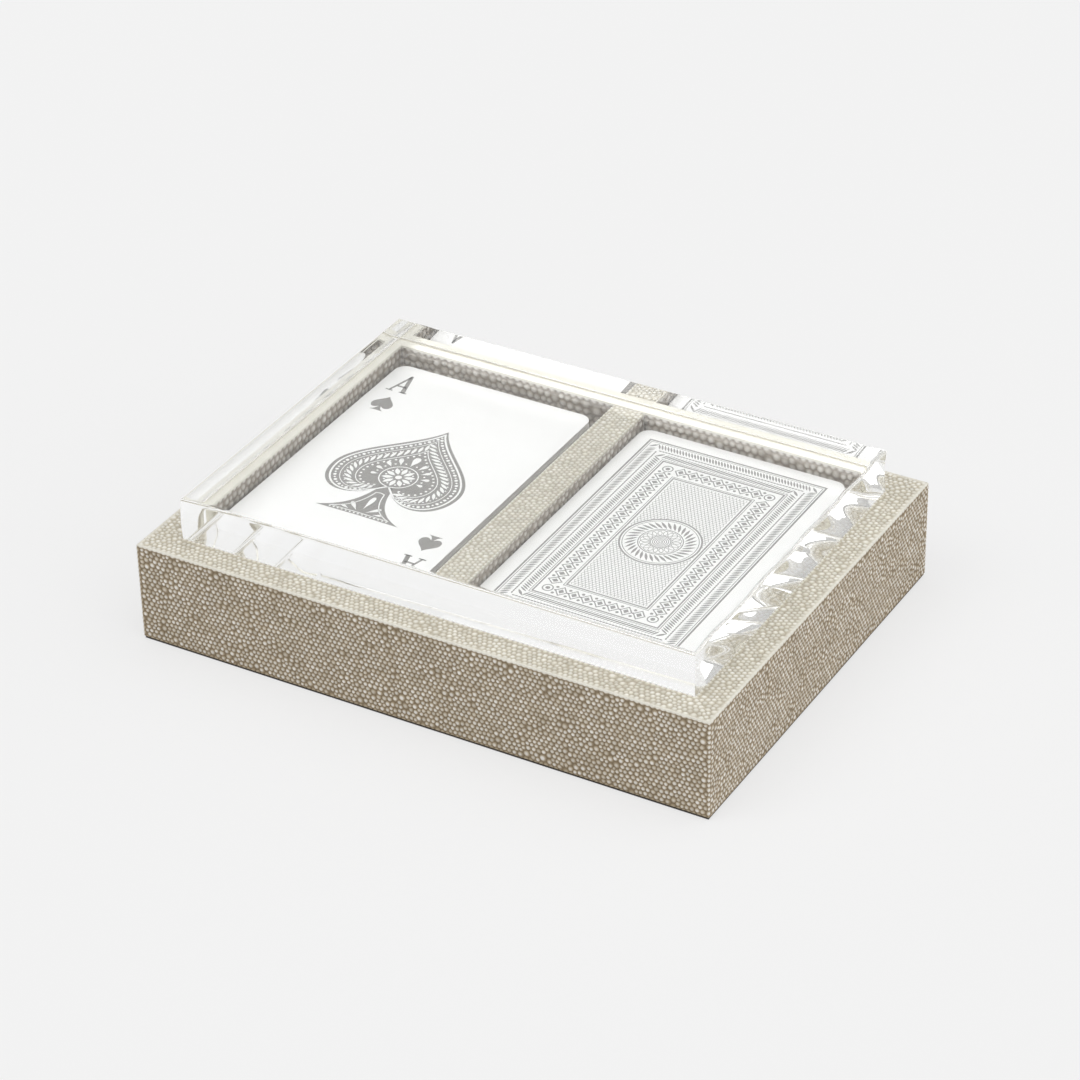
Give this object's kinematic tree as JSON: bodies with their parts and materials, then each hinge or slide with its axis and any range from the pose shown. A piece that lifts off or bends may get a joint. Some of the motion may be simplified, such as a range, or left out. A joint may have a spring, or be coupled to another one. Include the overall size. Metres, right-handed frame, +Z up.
{
  "type": "playing card box",
  "caption": "Low rectangular tray covered in pebbled sheet, with a well for each deck of playing cards and a thick clear slab lid that sits in a rebate and lifts off.",
  "frame": {"origin": "middle of the underside of the base pad, on the surface that the box stands on", "axes": "+X to the right along the long front side, +Y from front to back, +Z up"},
  "size_m": [0.1568, 0.1164, 0.0387],
  "materials": {
    "pebbled_cover": "satin, pebbled relief",
    "board": "matt, cream lacquer",
    "seat": "matt, smooth",
    "base_felt": "felt",
    "floor_lining": "brushed cloth",
    "clear_lid": "polished, clear",
    "card_stock": "smooth, coated"
  },
  "bodies": {
    "tray": {"front_cover": "pebbled_cover", "right_cover": "pebbled_cover", "back_cover": "pebbled_cover", "left_cover": "pebbled_cover", "front_wall": "board", "right_wall": "board", "back_wall": "board", "left_wall": "board", "front_rim_cover": "pebbled_cover", "right_rim_cover": "pebbled_cover", "back_rim_cover": "pebbled_cover", "left_rim_cover": "pebbled_cover", "front_liner": "board", "right_liner": "board", "back_liner": "board", "left_liner": "board", "front_facing": "pebbled_cover", "right_facing": "pebbled_cover", "back_facing": "pebbled_cover", "left_facing": "pebbled_cover", "front_seat_strip": "seat", "right_seat_strip": "seat", "back_seat_strip": "seat", "left_seat_strip": "seat", "bottom_board": "board", "base_pad": "base_felt", "divider": "board", "divider_left_facing": "pebbled_cover", "divider_right_facing": "pebbled_cover", "divider_top_cover": "pebbled_cover", "left_floor_pad": "floor_lining", "right_floor_pad": "floor_lining"},
    "lid": {"lid": "clear_lid"},
    "left_deck": {"left_deck": "card_stock", "ace_card": "card_stock"},
    "right_deck": {"right_deck": "card_stock", "back_card": "card_stock"}
  },
  "joints": [
    {"name": "lid_lift", "type": "slide", "parent": "tray", "child": "lid", "axis": [0, 0, 1], "range_m": [0, 0.08]},
    {"name": "left_deck_lift", "type": "slide", "parent": "tray", "child": "left_deck", "axis": [0, 0, 1], "range_m": [0, 0.04]},
    {"name": "right_deck_lift", "type": "slide", "parent": "tray", "child": "right_deck", "axis": [0, 0, 1], "range_m": [0, 0.04]}
  ],
  "couplings": [
    {"joint": "left_deck_lift", "follows": "lid_lift", "ratio": 0.5},
    {"joint": "right_deck_lift", "follows": "lid_lift", "ratio": 0.5}
  ]
}
